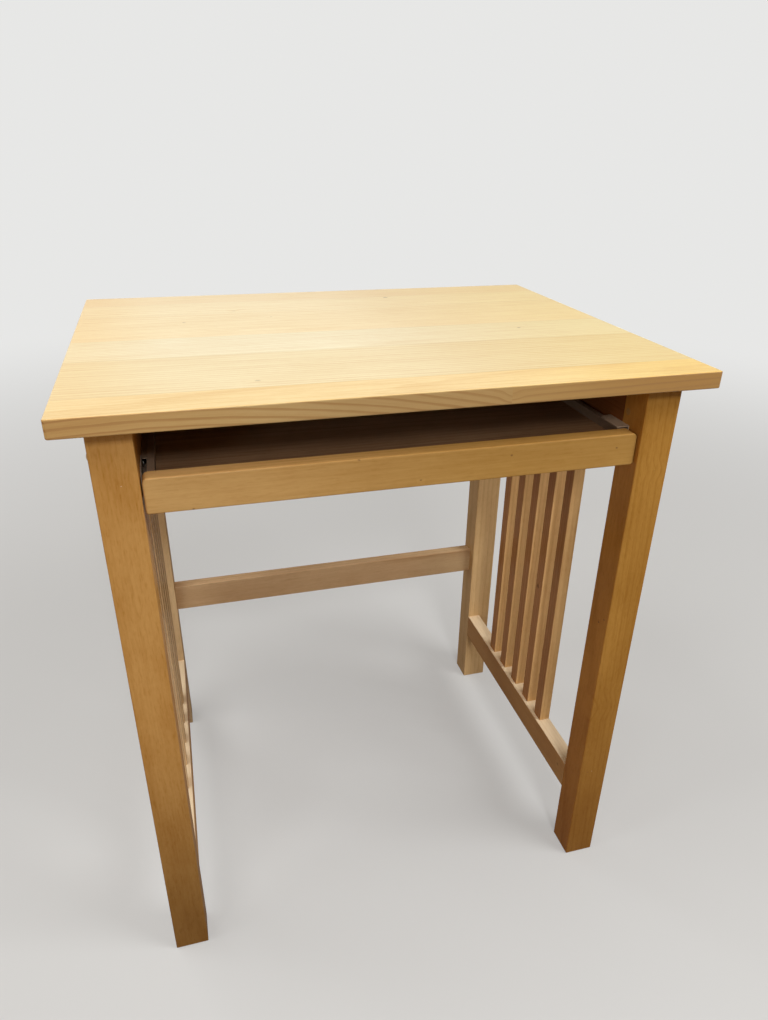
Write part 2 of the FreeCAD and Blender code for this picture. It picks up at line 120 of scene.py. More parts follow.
def maple_figure():
    """Solid sawn maple: rings, fibres, flecks and clouds, in metres.

    Heart is a point on the middle line of the tree, Turn brings the grain
    onto the Z axis, and Lean is how the tree leans to the board. The bows
    bend the grain of a board down on either side of the heart.
    """
    tree, given, made = new_effect(
        "maple figure",
        [("Place", "vector", (0, 0, 0)), ("Facing", "vector", (0, 0, 1)),
         ("Turn", "vector", (0, 0, 0)), ("Heart", "vector", (0.1, 0.1, 0)),
         ("Lean", "vector", (0, 0, 0)), ("Ring width", "number", 0.004),
         ("Wander", "number", 0.02), ("Swell", "number", 0.0),
         ("Pale", "colour", (0.8, 0.6, 0.35, 1)),
         ("Deep", "colour", (0.6, 0.4, 0.2, 1)),
         ("Ring depth", "number", 0.4), ("Fibre depth", "number", 0.3),
         ("Fleck depth", "number", 0.3), ("Cloud depth", "number", 0.4),
         ("Mottle depth", "number", 0.1), ("Left bow", "number", 0.0),
         ("Right bow", "number", 0.0)],
        [("Colour", "colour"), ("Ring", "number"), ("Height", "number"),
         ("Gloss loss", "number")])
    place = vector_node(tree, "SUBTRACT", given["Place"], given["Heart"])
    sideways = add_node(tree, "ShaderNodeSeparateXYZ",
                        {0: place.outputs[0]}).outputs[0]
    drop = 0.0
    for pick, bow in (("MINIMUM", "Left bow"), ("MAXIMUM", "Right bow")):
        side = math_node(tree, "POWER", math_node(tree, "ABSOLUTE", math_node(
            tree, pick, sideways, 0.0)), 2.0)
        drop = math_node(tree, "ADD", math_node(
            tree, "MULTIPLY", side, given[bow]), drop)
    bend = add_node(tree, "ShaderNodeCombineXYZ", {2: drop}).outputs[0]
    place = vector_node(tree, "ADD", place.outputs[0], bend)
    for turn in ("Turn", "Lean"):
        place = add_node(tree, "ShaderNodeMapping", {
            "Vector": place.outputs[0], "Rotation": given[turn]})
    place = place.outputs[0]
    long_way = along_grain(tree, place, 0.14)
    drift = add_node(tree, "ShaderNodeTexNoise",
                     {"Vector": long_way, "Scale": 9.0, "Detail": 2.0,
                      "Roughness": 0.4})
    centred = vector_node(tree, "SUBTRACT", drift.outputs[1], (0.5, 0.5, 0.5))
    wander = vector_node(tree, "SCALE", centred.outputs[0])
    tree.links.new(given["Wander"], wander.inputs["Scale"])
    wandered = vector_node(tree, "ADD", place, wander.outputs[0]).outputs[0]
    flat = along_grain(tree, wandered, 0)
    radius = vector_node(tree, "LENGTH", flat).outputs["Value"]
    radius = math_node(tree, "ADD", radius, given["Swell"])
    count = math_node(tree, "DIVIDE", radius, given["Ring width"])
    ruffle = noise(tree, long_way, 160.0, 1.0)
    count = math_node(tree, "ADD", count, math_node(
        tree, "MULTIPLY", ruffle, 0.35))
    ring = math_node(tree, "FRACT", count)
    ring = math_node(tree, "MULTIPLY", between(tree, ring, 0.45, 0.93),
                     between(tree, ring, 0.93, 1.0, 1.0, 0.0))
    year_place = add_node(tree, "ShaderNodeCombineXYZ", {0: radius}).outputs[0]
    year = noise(tree, year_place, 95.0, 2.0, 0.7)
    ring = math_node(tree, "MULTIPLY", ring, between(tree, year, 0.30, 0.60))
    fine = along_grain(tree, place, 0.03)
    fibre = noise(tree, fine, 1100.0, 3.0, 0.6)
    streak = between(tree, noise(tree, fine, 330.0, 3.0, 0.6), 0.35, 0.7)
    short = along_grain(tree, place, 0.16)
    fleck = between(tree, noise(tree, short, 520.0, 2.0), 0.50, 0.75)
    patch = along_grain(tree, place, 0.45)
    cloud = between(tree, noise(tree, patch, 22.0, 2.0), 0.35, 0.7)
    curl = along_grain(tree, wandered, 0.45)
    mottle = between(tree, noise(tree, curl, 300.0, 3.0, 0.6), 0.35, 0.65)
    parts = ((cloud, "Cloud depth"), (mottle, "Mottle depth"),
             (ring, "Ring depth"), (streak, "Fibre depth"),
             (fleck, "Fleck depth"))
    share = 0.0
    for part, depth in parts:
        share = math_node(tree, "ADD", math_node(
            tree, "MULTIPLY", part, given[depth]), share)
    axis = add_node(tree, "ShaderNodeMapping",
                    {"Vector": given["Facing"], "Rotation": given["Turn"]},
                    vector_type="NORMAL").outputs[0]
    end = add_node(tree, "ShaderNodeSeparateXYZ", {0: axis}).outputs[2]
    end = between(tree, math_node(tree, "ABSOLUTE", end), 0.6, 0.95)
    share = math_node(tree, "ADD", share, math_node(
        tree, "MULTIPLY", end, 0.5), clamp=True)
    colour = blend_colour(tree, share, given["Pale"], given["Deep"])
    pore = between(tree, fibre, 0.35, 0.65)
    tree.links.new(colour, made["Colour"])
    tree.links.new(ring, made["Ring"])
    tree.links.new(math_node(tree, "SUBTRACT", pore, math_node(
        tree, "MULTIPLY", fleck, 0.6)), made["Height"])
    tree.links.new(math_node(tree, "ADD", math_node(
        tree, "MULTIPLY", pore, 0.04), math_node(
        tree, "MULTIPLY", end, 0.12)), made["Gloss loss"])
    return tree


def pin_knot():
    """A small knot: a dark heart, and a swell that bends the rings by it."""
    tree, given, made = new_effect(
        "pin knot",
        [("Place", "vector", (0, 0, 0)), ("Centre", "vector", (0, 0, 0)),
         ("Heart size", "number", 0.002), ("Reach", "number", 0.02)],
        [("Mark", "number"), ("Swell", "number")])
    offset = vector_node(tree, "SUBTRACT", given["Place"], given["Centre"])
    shaped = vector_node(tree, "MULTIPLY", offset.outputs[0], (0.7, 1, 1))
    away = vector_node(tree, "LENGTH", shaped.outputs[0]).outputs["Value"]
    rough = noise(tree, given["Place"], 420.0, 1.0)
    ragged = math_node(tree, "MULTIPLY", away, math_node(
        tree, "ADD", math_node(tree, "MULTIPLY", rough, 1.2), 0.4))
    near = math_node(tree, "DIVIDE", ragged, given["Heart size"])
    tree.links.new(between(tree, near, 0.35, 1.3, 1.0, 0.0), made["Mark"])
    far = math_node(tree, "DIVIDE", away, given["Reach"])
    tree.links.new(math_node(tree, "MULTIPLY", between(
        tree, far, 0.0, 1.0, 1.0, 0.0), math_node(
        tree, "MULTIPLY", given["Reach"], 0.35)), made["Swell"])
    return tree


def rubbed_arris():
    """Where hands have rubbed the lacquer thin, along the edges."""
    tree, given, made = new_effect(
        "rubbed arris",
        [("Place", "vector", (0, 0, 0)), ("Width", "number", 0.002)],
        [("Rubbed", "number")])
    rounded = add_node(tree, "ShaderNodeBevel", {"Radius": given["Width"]},
                       samples=4).outputs[0]
    true = tree.nodes.new("ShaderNodeNewGeometry").outputs["True Normal"]
    close = vector_node(tree, "DOT_PRODUCT", rounded, true).outputs["Value"]
    edge = between(tree, close, 0.80, 0.97, 1.0, 0.0)
    broken = between(tree, noise(tree, given["Place"], 60.0, 4.0, 0.65),
                     0.42, 0.7)
    tree.links.new(math_node(tree, "MULTIPLY", edge, broken), made["Rubbed"])
    return tree


def glue_line():
    """The hairline where a board meets the next one on either side."""
    tree, given, made = new_effect(
        "glue line",
        [("Place", "vector", (0, 0, 0)), ("Low side", "number", 0.0),
         ("High side", "number", 0.1), ("Width", "number", 0.0003)],
        [("Line", "number")])
    across = add_node(tree, "ShaderNodeSeparateXYZ",
                      {0: given["Place"]}).outputs[1]
    near = [math_node(tree, "ABSOLUTE", math_node(
        tree, "SUBTRACT", across, given[side]))
        for side in ("Low side", "High side")]
    closest = math_node(tree, "MINIMUM", *near)
    share = math_node(tree, "DIVIDE", closest, given["Width"])
    tree.links.new(between(tree, share, 0.6, 1.0, 0.55, 0.0), made["Line"])
    return tree


def tint_by_place():
    """A tint that comes in between two places along an axis."""
    tree, given, made = new_effect(
        "tint by place",
        [("Colour", "colour", (0.8, 0.6, 0.35, 1)), ("Along", "number", 0.0),
         ("Start", "number", 0.0), ("End", "number", 0.1),
         ("Share", "number", 1.0), ("Tint", "colour", (1, 1, 1, 1))],
        [("Colour", "colour")])
    reached = math_node(tree, "MULTIPLY", given["Share"], between(
        tree, given["Along"], given["Start"], given["End"]))
    tree.links.new(blend_colour(tree, reached, given["Colour"],
                                given["Tint"], "MULTIPLY"), made["Colour"])
    return tree


def paint_face_shade():
    """Painted light and shade: a tint for the faces that are turned along an
    axis.
    """
    tree, given, made = new_effect(
        "painted face shade",
        [("Colour", "colour", (0.8, 0.6, 0.35, 1)),
         ("Facing", "vector", (0, 0, 1)), ("Axis", "vector", (0, 0, 1)),
         ("Tint", "colour", (1, 1, 1, 1))],
        [("Colour", "colour")])
    turned = math_node(tree, "ABSOLUTE", vector_node(
        tree, "DOT_PRODUCT", given["Facing"], given["Axis"]).outputs["Value"])
    tree.links.new(blend_colour(
        tree, between(tree, turned, 0.5, 0.9), given["Colour"],
        given["Tint"], "MULTIPLY"), made["Colour"])
    return tree


figure_effect = maple_figure()
glue_effect = glue_line()
knot_effect = pin_knot()
rubbed_effect = rubbed_arris()
place_tint_effect = tint_by_place()
face_shade_effect = paint_face_shade()
grain_turns = {"x": (0, -math.pi / 2, 0), "y": (math.pi / 2, 0, 0),
               "z": (0, 0, 0)}


def place_effect(tree, effect, values):
    """An effect's node group, placed and filled; gives its outputs."""
    return add_node(tree, "ShaderNodeGroup", values,
                    node_tree=effect).outputs


def new_finish(name):
    """A material with its shader and the coordinates of the object."""
    material = bpy.data.materials.new(name)
    material.use_nodes = True
    tree = material.node_tree
    shader = tree.nodes["Principled BSDF"]
    coordinates = tree.nodes.new("ShaderNodeTexCoord").outputs
    return material, tree, shader, coordinates


axes = {"x": (1, 0, 0), "y": (0, 1, 0), "z": (0, 0, 1)}
dark_band_tint = (0.66, 0.50, 0.34, 1)
glue_brown = (0.45, 0.28, 0.12, 1)
paint_speck = (0.78, 0.66, 0.46, 1)
joint_blur = 0.0003
rubbed_width, rubbed_dulling = 0.002, 0.3
rubbed_gain, rubbed_lift = 1.25, 0.02
lacquer_share, lacquer_roughness = 0.16, 0.22
pore_bump, pore_depth = 0.12, 0.0002


def side_grain_and_shade(tree, coordinates, figure, wood, colour, shade_tone, band_share,
               edge_figure, edge_tints):
    """A board's colour, with every face but the upper one darkened as painted
    shade.

    The rings show there as bands. An edge figure is another run of grain up
    to a joint along x, and edge tints come in along x on the front edge.
    """
    facing = add_node(tree, "ShaderNodeSeparateXYZ",
                      {0: coordinates["Normal"]}).outputs
    along = add_node(tree, "ShaderNodeSeparateXYZ",
                     {0: coordinates["Object"]}).outputs[0]
    toned, bands = colour, wood["Ring"]
    if edge_figure:
        joint, joined = edge_figure
        arched = place_effect(tree, figure_effect, {**figure, **joined})
        level = math_node(tree, "ABSOLUTE", facing[2])
        joined_here = math_node(
            tree, "MULTIPLY", between(tree, level, 0.5, 0.7, 1.0, 0.0),
            between(tree, along, joint + joint_blur, joint - joint_blur))
        toned = blend_colour(tree, joined_here, toned, arched["Colour"])
        bands = blend_colour(tree, joined_here, bands,
                             between(tree, arched["Ring"], 0.05, 0.55))
    # Painted shade: every face but the upper one is darkened by the shade
    # tone.
    toned = blend_colour(tree, 1.0, toned, (*shade_tone, 1), "MULTIPLY")
    toned = blend_colour(
        tree, math_node(tree, "MULTIPLY", bands, band_share),
        toned, dark_band_tint, "MULTIPLY")
    sideways = math_node(tree, "ABSOLUTE", facing[0])
    on_front = between(tree, sideways, 0.7, 0.9, 1.0, 0.0)
    for start, end, tint in edge_tints:
        toned = place_effect(tree, place_tint_effect, {
            "Colour": toned, "Along": along, "Start": start, "End": end,
            "Share": on_front, "Tint": (*tint, 1)})["Colour"]
    return blend_colour(tree, between(tree, facing[2], 0.45, 0.95),
                        toned, colour)


def lacquered_maple(name, grain, pale, deep, heart, lean=(0, 0, 0),
                    ring_width=0.006, wander=0.02, ring_depth=0.4,
                    fibre_depth=0.25, fleck_depth=0.25, cloud_depth=0.4,
                    mottle_depth=0.1, knots=(), specks=(),
                    mark_colour=(0.20, 0.10, 0.04), rubbed_depth=0.3,
                    roughness=0.45, sheen=0.0, tints_and_painted_shade=(), face_shading=(),
                    side_shade_tone=None, edge_bands=0.0, edge_figure=None,
                    edge_tints=(), seam=0.0):
    """Clear lacquer over maple whose grain runs along x, y or z.

    Knots are given by centre, heart size, reach of the swirl and darkness, and
    specks of paint by centre and size. Tints, most of them painted light and
    shade, come in between two places along an axis. Face shading tints the
    faces turned along x, y or z lighter or darker, as painted light and shade.
    The edge values darken every face but the upper one, as painted shade, and
    give the grain there. A seam is the width of the glue line along both
    sides.
    """
    material, tree, shader, coordinates = new_finish(name)
    place = coordinates["Object"]
    swell, marks = 0.0, []
    for centre, size, reach, depth in knots:
        knot = place_effect(tree, knot_effect, {
            "Place": place, "Centre": centre, "Heart size": size,
            "Reach": reach})
        swell = math_node(tree, "ADD", knot["Swell"], swell)
        marks.append(math_node(tree, "MULTIPLY", knot["Mark"], depth))
    figure = {
        "Place": place, "Facing": coordinates["Normal"],
        "Turn": grain_turns[grain], "Heart": heart, "Lean": lean,
        "Ring width": ring_width, "Wander": wander, "Swell": swell,
        "Pale": (*pale, 1), "Deep": (*deep, 1), "Ring depth": ring_depth,
        "Fibre depth": fibre_depth, "Fleck depth": fleck_depth,
        "Cloud depth": cloud_depth, "Mottle depth": mottle_depth}
    wood = place_effect(tree, figure_effect, figure)
    colour = wood["Colour"]
    for axis, shade_tone in face_shading:
        colour = place_effect(tree, face_shade_effect, {
            "Colour": colour, "Facing": coordinates["Normal"],
            "Axis": axes[axis], "Tint": (*shade_tone, 1)})["Colour"]
    if side_shade_tone:
        colour = side_grain_and_shade(tree, coordinates, figure, wood, colour,
                            side_shade_tone, edge_bands, edge_figure, edge_tints)
    where = add_node(tree, "ShaderNodeSeparateXYZ", {0: place}).outputs
    for axis, start, end, tint in tints_and_painted_shade:
        colour = place_effect(tree, place_tint_effect, {
            "Colour": colour, "Along": where["xyz".index(axis)],
            "Start": start, "End": end, "Tint": (*tint, 1)})["Colour"]
    for mark in marks:
        colour = blend_colour(tree, mark, colour, (*mark_colour, 1))
    if seam:
        low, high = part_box(name)
        line = place_effect(tree, glue_effect, {
            "Place": place, "Low side": low.y, "High side": high.y,
            "Width": seam})["Line"]
        colour = blend_colour(tree, line, colour, glue_brown)
    for centre, size in specks:
        speck = place_effect(tree, knot_effect, {
            "Place": place, "Centre": centre, "Heart size": size})["Mark"]
        colour = blend_colour(tree, speck, colour, paint_speck)
    rubbed = place_effect(tree, rubbed_effect, {
        "Place": place, "Width": rubbed_width})["Rubbed"]
    rubbed_share = math_node(tree, "MULTIPLY", rubbed, rubbed_depth)
    paler = tuple(min(1.0, part * rubbed_gain + rubbed_lift)
                  for part in pale)
    colour = blend_colour(tree, rubbed_share, colour, (*paler, 1))
    tree.links.new(colour, shader.inputs["Base Color"])
    dull = math_node(tree, "ADD", wood["Gloss loss"], roughness)
    dull = math_node(tree, "ADD", dull, math_node(
        tree, "MULTIPLY", rubbed_share, rubbed_dulling))
    tree.links.new(dull, shader.inputs["Roughness"])
    shader.inputs["Specular IOR Level"].default_value = sheen
    shader.inputs["Coat Weight"].default_value = lacquer_share
    shader.inputs["Coat Roughness"].default_value = lacquer_roughness
    bump = add_node(tree, "ShaderNodeBump",
                    {"Height": wood["Height"], "Strength": pore_bump,
                     "Distance": pore_depth})
    tree.links.new(bump.outputs[0], shader.inputs["Normal"])
    return material


def finish_with(material, *nodes):
    """Give CAD nodes a material in place of their plain one."""
    for node in nodes:
        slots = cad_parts[node].data.materials
        slots.clear()
        slots.append(material)


top_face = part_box("desktop_board_1")[1].z
edge_joint = 0.0947
desktop_boards = {
    "desktop_board_1": dict(
        pale=(0.87, 0.675, 0.335), deep=(0.72, 0.465, 0.175),
        heart=(0, -0.262, 0.570), lean=(0.004, 0.020, 0), ring_depth=0.3,
        fibre_depth=0.45, edge_bands=0.9,
        # Partly wood tone and partly painted reflection: the right of this
        # board is tinted yellower.
        tints_and_painted_shade=(("x", 0.0, 0.33, (0.97, 0.90, 0.54)),),
        edge_figure=(edge_joint, {
            "Heart": (-0.247, -0.262, 0.6906), "Lean": (0, 0, 0),
            "Ring width": 0.0074, "Wander": 0.016, "Left bow": 0.40,
            "Right bow": 0.36, "Ring depth": 0.5, "Fleck depth": 0.2}),
        knots=(((edge_joint, -0.2625, 0.751), 0.0012, 0.012, 0.6),)),
    "desktop_board_2": dict(
        pale=(0.86, 0.745, 0.46), deep=(0.73, 0.53, 0.26),
        heart=(0, -0.02, 0.70), lean=(-0.015, 0.01, 0),
        knots=(((-0.148, -0.192, top_face), 0.0022, 0.012, 0.35),)),
    "desktop_board_3": dict(
        pale=(0.895, 0.815, 0.565), deep=(0.76, 0.58, 0.31),
        heart=(0, -0.20, 0.71), lean=(0.01, -0.02, 0),
        knots=(((0.208, -0.030, top_face), 0.0018, 0.014, 0.75),)),
    "desktop_board_4": dict(
        pale=(0.93, 0.79, 0.49), deep=(0.78, 0.56, 0.26),
        heart=(0, 0.15, 0.72), lean=(0.012, 0.015, 0),
        knots=(((-0.209, 0.085, top_face), 0.0018, 0.012, 0.5),
               ((-0.095, 0.099, top_face), 0.0012, 0.010, 0.4))),
    "desktop_board_5": dict(
        pale=(0.95, 0.82, 0.52), deep=(0.80, 0.59, 0.29),
        heart=(0, 0.10, 0.69), lean=(-0.01, 0.015, 0),
        knots=(((-0.140, 0.145, top_face), 0.002, 0.012, 0.3),
               ((0.092, 0.199, top_face), 0.0026, 0.030, 0.7))),
    "desktop_board_6": dict(
        pale=(0.93, 0.77, 0.47), deep=(0.78, 0.55, 0.26),
        heart=(0, 0.30, 0.72), lean=(0.015, -0.01, 0)),
}
# The front edge is a length joined at 95 mm to a plainer, darker one.
# Painted shade: every face of a board but the upper one is darkened by the
# side shade tone. The tints along x are partly the wood's own tone and partly
# a painted reflection, palest in the middle of the top.
desktop_figure = dict(
    ring_width=0.0065, wander=0.012, ring_depth=0.55, fibre_depth=0.36,
    fleck_depth=0.08, cloud_depth=0.12, rubbed_depth=0.0, roughness=0.30,
    sheen=0.14, side_shade_tone=(0.585, 0.535, 0.45), edge_bands=0.6,
    edge_tints=((edge_joint - 0.0007, edge_joint + 0.0005,
                 (1.02, 0.965, 0.86)),
                (0.05, 0.30, (0.73, 0.54, 0.17)),
                (-0.06, -0.15, (1.21, 1.31, 1.46)),
                (-0.24, -0.33, (0.96, 0.87, 0.75)),
                (-0.05, -0.30, (1.12, 0.955, 0.74))),
    seam=0.00035,
    tints_and_painted_shade=(("x", -0.05, 0.10, (0.93, 0.89, 0.83)),
           ("x", 0.0, 0.33, (0.99, 0.96, 0.72)),
           ("x", -0.22, -0.34, (0.98, 0.91, 0.78))))
for board, wood in desktop_boards.items():
    finish_with(lacquered_maple(
        board, "x", **{**desktop_figure, **wood}), board)


# Legs: 42 mm square posts with eased arrises, lacquered a honey colour. Each
# is sawn from its own plank, so that the rings show straight on one face and
# arched on the next. A few specks of paint and small pin holes show. Their
# colours differ leg by leg partly as painted light: the back left one is
# painted palest and the front right one darkest, as if lit more and less, with
# the front right's faces turned along x painted lighter. Each but the back
# right is painted darker towards its foot, as painted shade.
leg_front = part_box("front_left_leg")[0].y
right_leg_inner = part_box("front_right_leg")[0].x
leg_woods = {
    "front_left_leg": dict(
        pale=(0.615, 0.335, 0.104), deep=(0.45, 0.208, 0.043),
        heart=(-0.30, 0.12, 0), lean=(0.012, 0.015, 0), ring_depth=0.12,
        fibre_depth=0.22, mottle_depth=0.13,
        tints_and_painted_shade=(("z", 0.45, 0.0, (0.46, 0.43, 0.35)),), cloud_depth=0.5,
        specks=(((-0.2867, leg_front, 0.6835), 0.0004),)),
    "front_right_leg": dict(
        pale=(0.47, 0.238, 0.048), deep=(0.35, 0.158, 0.024),
        heart=(0.46, -0.27, 0), lean=(0.006, 0.035, 0), ring_depth=0.42,
        fibre_depth=0.2, mottle_depth=0.16,
        tints_and_painted_shade=(("z", 0.45, 0.0, (0.70, 0.64, 0.60)),),
        face_shading=(("x", (1.24, 1.12, 1.15)),),
        knots=(((0.279, leg_front, 0.288), 0.0010, 0.028, 0.0),
               ((0.296, leg_front, 0.640), 0.0010, 0.016, 0.25),
               ((0.282, leg_front, 0.168), 0.0009, 0.004, 0.7),
               ((right_leg_inner, -0.2222, 0.4194), 0.0014, 0.006, 0.9),
               ((right_leg_inner, -0.2327, 0.4297), 0.0014, 0.006, 0.9)),
        specks=(((0.2882, leg_front, 0.1685), 0.0005),
                ((right_leg_inner, -0.2086, 0.7062), 0.0003))),
    "back_left_leg": dict(
        pale=(0.92, 0.67, 0.38), deep=(0.73, 0.49, 0.245),
        heart=(-0.30, 0.40, 0), lean=(-0.02, 0.02, 0), ring_depth=0.4,
        fibre_depth=0.2, tints_and_painted_shade=(("z", 0.30, 0.0, (0.62, 0.60, 0.60)),)),
    "back_right_leg": dict(
        pale=(0.69, 0.47, 0.235), deep=(0.54, 0.335, 0.145),
        heart=(0.42, 0.16, 0), lean=(0.008, 0.012, 0), ring_depth=0.4,
        fibre_depth=0.2),
}
for leg, wood in leg_woods.items():
    finish_with(lacquered_maple(
        leg, "z", ring_width=0.0085, wander=0.016, fleck_depth=0.35,
        **wood), leg)


# Side rails: 23 mm boards tenoned between the legs, the upper ones 96 mm deep
# under the desktop and the lower ones 44 mm deep near the floor. The lower
# ones are painted pale on top, as painted light from above, and darker on
# their other faces, as painted shade, and the right upper one is painted
# darker on its inner face, as painted shade.
rail_woods = {
    "left_lower_rail": dict(
        heart=(-0.36, 0, 0.14), lean=(0.01, 0.02, 0),
        pale=(0.95, 0.78, 0.53), deep=(0.84, 0.64, 0.41),
        side_shade_tone=(0.56, 0.37, 0.195)),
    "right_lower_rail": dict(
        heart=(0.36, 0, 0.13), lean=(0.02, 0.01, 0),
        pale=(0.95, 0.78, 0.53), deep=(0.84, 0.64, 0.41),
        side_shade_tone=(0.54, 0.36, 0.19),
        knots=(((right_leg_inner, -0.1807, 0.1278), 0.0026, 0.012, 0.55),)),
    "left_upper_rail": dict(
        heart=(-0.25, 0, 0.60), lean=(0.01, 0.02, 0),
        pale=(0.56, 0.31, 0.115), deep=(0.42, 0.20, 0.06)),
    "right_upper_rail": dict(
        heart=(0.25, 0, 0.58), lean=(0.02, 0.015, 0),
        tints_and_painted_shade=(("x", 0.288, 0.275, (0.50, 0.33, 0.28)),),
        pale=(0.56, 0.31, 0.115), deep=(0.42, 0.20, 0.06)),
}
for rail, wood in rail_woods.items():
    finish_with(lacquered_maple(
        rail, "y", ring_width=0.0055, wander=0.012, ring_depth=0.45,
        **wood), rail)


# Slats: five a side, 17 by 20.5 mm, let into the two rails. They are a little
# paler than the legs, and one on the right has a small knot. The left ones are
# painted paler, most at the front, as painted light, and the faces of the
# right ones turned along x are painted darker, as painted shade.
slat_woods = {
    "left": dict(pale=(0.69, 0.49, 0.27), deep=(0.52, 0.335, 0.16),
                 face_shading=()),
    "right": dict(pale=(0.717, 0.454, 0.202), deep=(0.526, 0.291, 0.106),
                  face_shading=(("x", (0.72, 0.56, 0.50)),)),
}
slat_knots = {
    "right_slat_2": (((0.2755, -0.0435, 0.365), 0.0036, 0.014, 0.9),)}
front_left_painted_light, painted_light_step, least_painted_light = 1.32, 0.12, 1.05
for side, woods in slat_woods.items():
    for number in range(1, 6):
        slat = f"{side}_slat_{number}"
        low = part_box(slat)[0]
        tone_and_painted_light = 1.0 + 0.05 * math.sin(number * 2.3 + low.x * 9)
        # Painted light: the left slats are made paler, most at the front.
        if side == "left":
            tone_and_painted_light *= max(least_painted_light,
                         front_left_painted_light - painted_light_step * (number - 1))
        finish_with(lacquered_maple(
            slat, "z",
            pale=[tone_and_painted_light * value for value in woods["pale"]],
            deep=[tone_and_painted_light * value for value in woods["deep"]],
            face_shading=woods["face_shading"],
            heart=(low.x + 0.10 * math.sin(number * 1.7),
                   low.y + 0.10 * math.cos(number * 2.9), 0),
            lean=(0.01 * math.sin(number), 0.01 * math.cos(number), 0),
            ring_width=0.005, wander=0.012, ring_depth=0.45,
            cloud_depth=0.3, knots=slat_knots.get(slat, ())), slat)


# Cross rails: a stretcher between the back legs and a rail under the desktop,
# both tenoned into the legs and of a paler, broad-ringed maple. Their faces
# turned up and down are painted lighter, as painted light, and their right
# ends darker, as painted shade.
cross_rail_hearts = {"back_stretcher": (0, 0.33, 0.255),
                     "back_top_rail": (0, 0.15, 0.70)}
for rail, heart in cross_rail_hearts.items():
    finish_with(lacquered_maple(
        rail, "x", pale=(0.69, 0.475, 0.265), deep=(0.54, 0.33, 0.165),
        heart=heart, lean=(0.020, 0.012, 0), ring_width=0.007,
        wander=0.03, ring_depth=0.8, cloud_depth=0.25,
        face_shading=(("z", (1.3, 1.3, 1.3)),),
        tints_and_painted_shade=(("x", 0.12, 0.26, (0.72, 0.72, 0.70)),)), rail)


# Pegs: turned maple pins glued through the legs into the rails' tenons. Their
# rounded heads are paler than the legs and show end grain, and their inner
# ends are cut flush and coloured like the legs.
peg_head_radius = 0.0065
pegs_low, pegs_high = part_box("rail_pegs")
peg_height = (pegs_low.z + pegs_high.z) / 2
peg_ends = [(x, y, peg_height) for x in (-right_leg_inner, right_leg_inner)
            for y in (pegs_low.y + peg_head_radius,
                      pegs_high.y - peg_head_radius)]
finish_with(lacquered_maple(
    "rail_pegs", "x", pale=(0.86, 0.66, 0.42), deep=(0.70, 0.48, 0.26),
    heart=(0, 0.1, 0.5), ring_width=0.002, wander=0.005,
    rubbed_depth=0.0, knots=[(end, 0.012, 0.006, 0.9) for end in peg_ends],
    mark_colour=(0.45, 0.225, 0.052)), "rail_pegs")


# Tray: a rounded front board dowelled to a thin panel. The board is nearly
# plain, with a few pin holes, and the panel is of darker wood. The board's top
# is painted lighter, as painted light, and its right end darker, as painted
# shade, and the panel is painted darker towards the front and the right, as
# painted shade.
board_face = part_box("tray_front_board")[0].y
board_pores = ((-0.2235, 0.6500), (0.2437, 0.6714), (0.1149, 0.6745),
               (0.0120, 0.6560), (-0.0555, 0.6860))
finish_with(lacquered_maple(
    "tray_front_board", "x", pale=(0.66, 0.41, 0.16),
    deep=(0.53, 0.30, 0.10), heart=(0, 0.10, 0.66), lean=(0.008, 0.01, 0),
    ring_width=0.006, wander=0.02, ring_depth=0.3, fibre_depth=0.35,
    cloud_depth=0.3, face_shading=(("z", (1.35, 1.32, 1.30)),),
    tints_and_painted_shade=(("x", -0.25, 0.13, (0.74, 0.68, 0.48)),),
    knots=[((x, board_face, z), 0.0011, 0.005, 0.75)
           for x, z in board_pores]), "tray_front_board")
finish_with(lacquered_maple(
    "tray_panel", "x", pale=(0.48, 0.31, 0.187), deep=(0.35, 0.21, 0.115),
    heart=(0, -0.05, 0.55), lean=(0.008, 0.02, 0), ring_width=0.006,
    wander=0.03, ring_depth=0.5, fibre_depth=0.5, roughness=0.36,
    tints_and_painted_shade=(("y", -0.10, -0.21, (0.52, 0.46, 0.40)),
           ("x", 0.08, 0.27, (0.84, 0.77, 0.69)))), "tray_panel")
finish_with(lacquered_maple(
    "tray_dowels", "y", pale=(0.70, 0.50, 0.28), deep=(0.56, 0.36, 0.18),
    heart=(0.1, 0, 0.6), ring_width=0.002, wander=0.004), "tray_dowels")


# Runners: four strips of folded steel with a brown epoxy coat. One a side is
# screwed to the upper rail, and the other carries the tray's panel and is
# coloured darker, as painted shade.
brown_coat, shaded_coat = (0.35, 0.25, 0.165), (0.26, 0.175, 0.115)
worn_steel = (0.42, 0.40, 0.37, 1)
coat_roughness, coat_wear_width = 0.48, 0.0006
grime_tone, grime_depth, grime_dulling = 0.72, 0.35, 0.15
peel_bump, peel_depth = 0.1, 0.0002


def broken_speckle():
    """Grime, soil, or the spangle of zinc, and its plain uneven grain."""
    tree, given, made = new_effect(
        "broken speckle",
        [("Place", "vector", (0, 0, 0)), ("Scale", "number", 260.0),
         ("Detail", "number", 3.0), ("Roughness", "number", 0.5),
         ("Low", "number", 0.35), ("High", "number", 0.75)],
        [("Share", "number"), ("Grain", "number")])
    uneven = noise(tree, given["Place"], given["Scale"], given["Detail"],
                   given["Roughness"])
    tree.links.new(between(tree, uneven, given["Low"], given["High"]),
                   made["Share"])
    tree.links.new(uneven, made["Grain"])
    return tree


speckle_effect = broken_speckle()


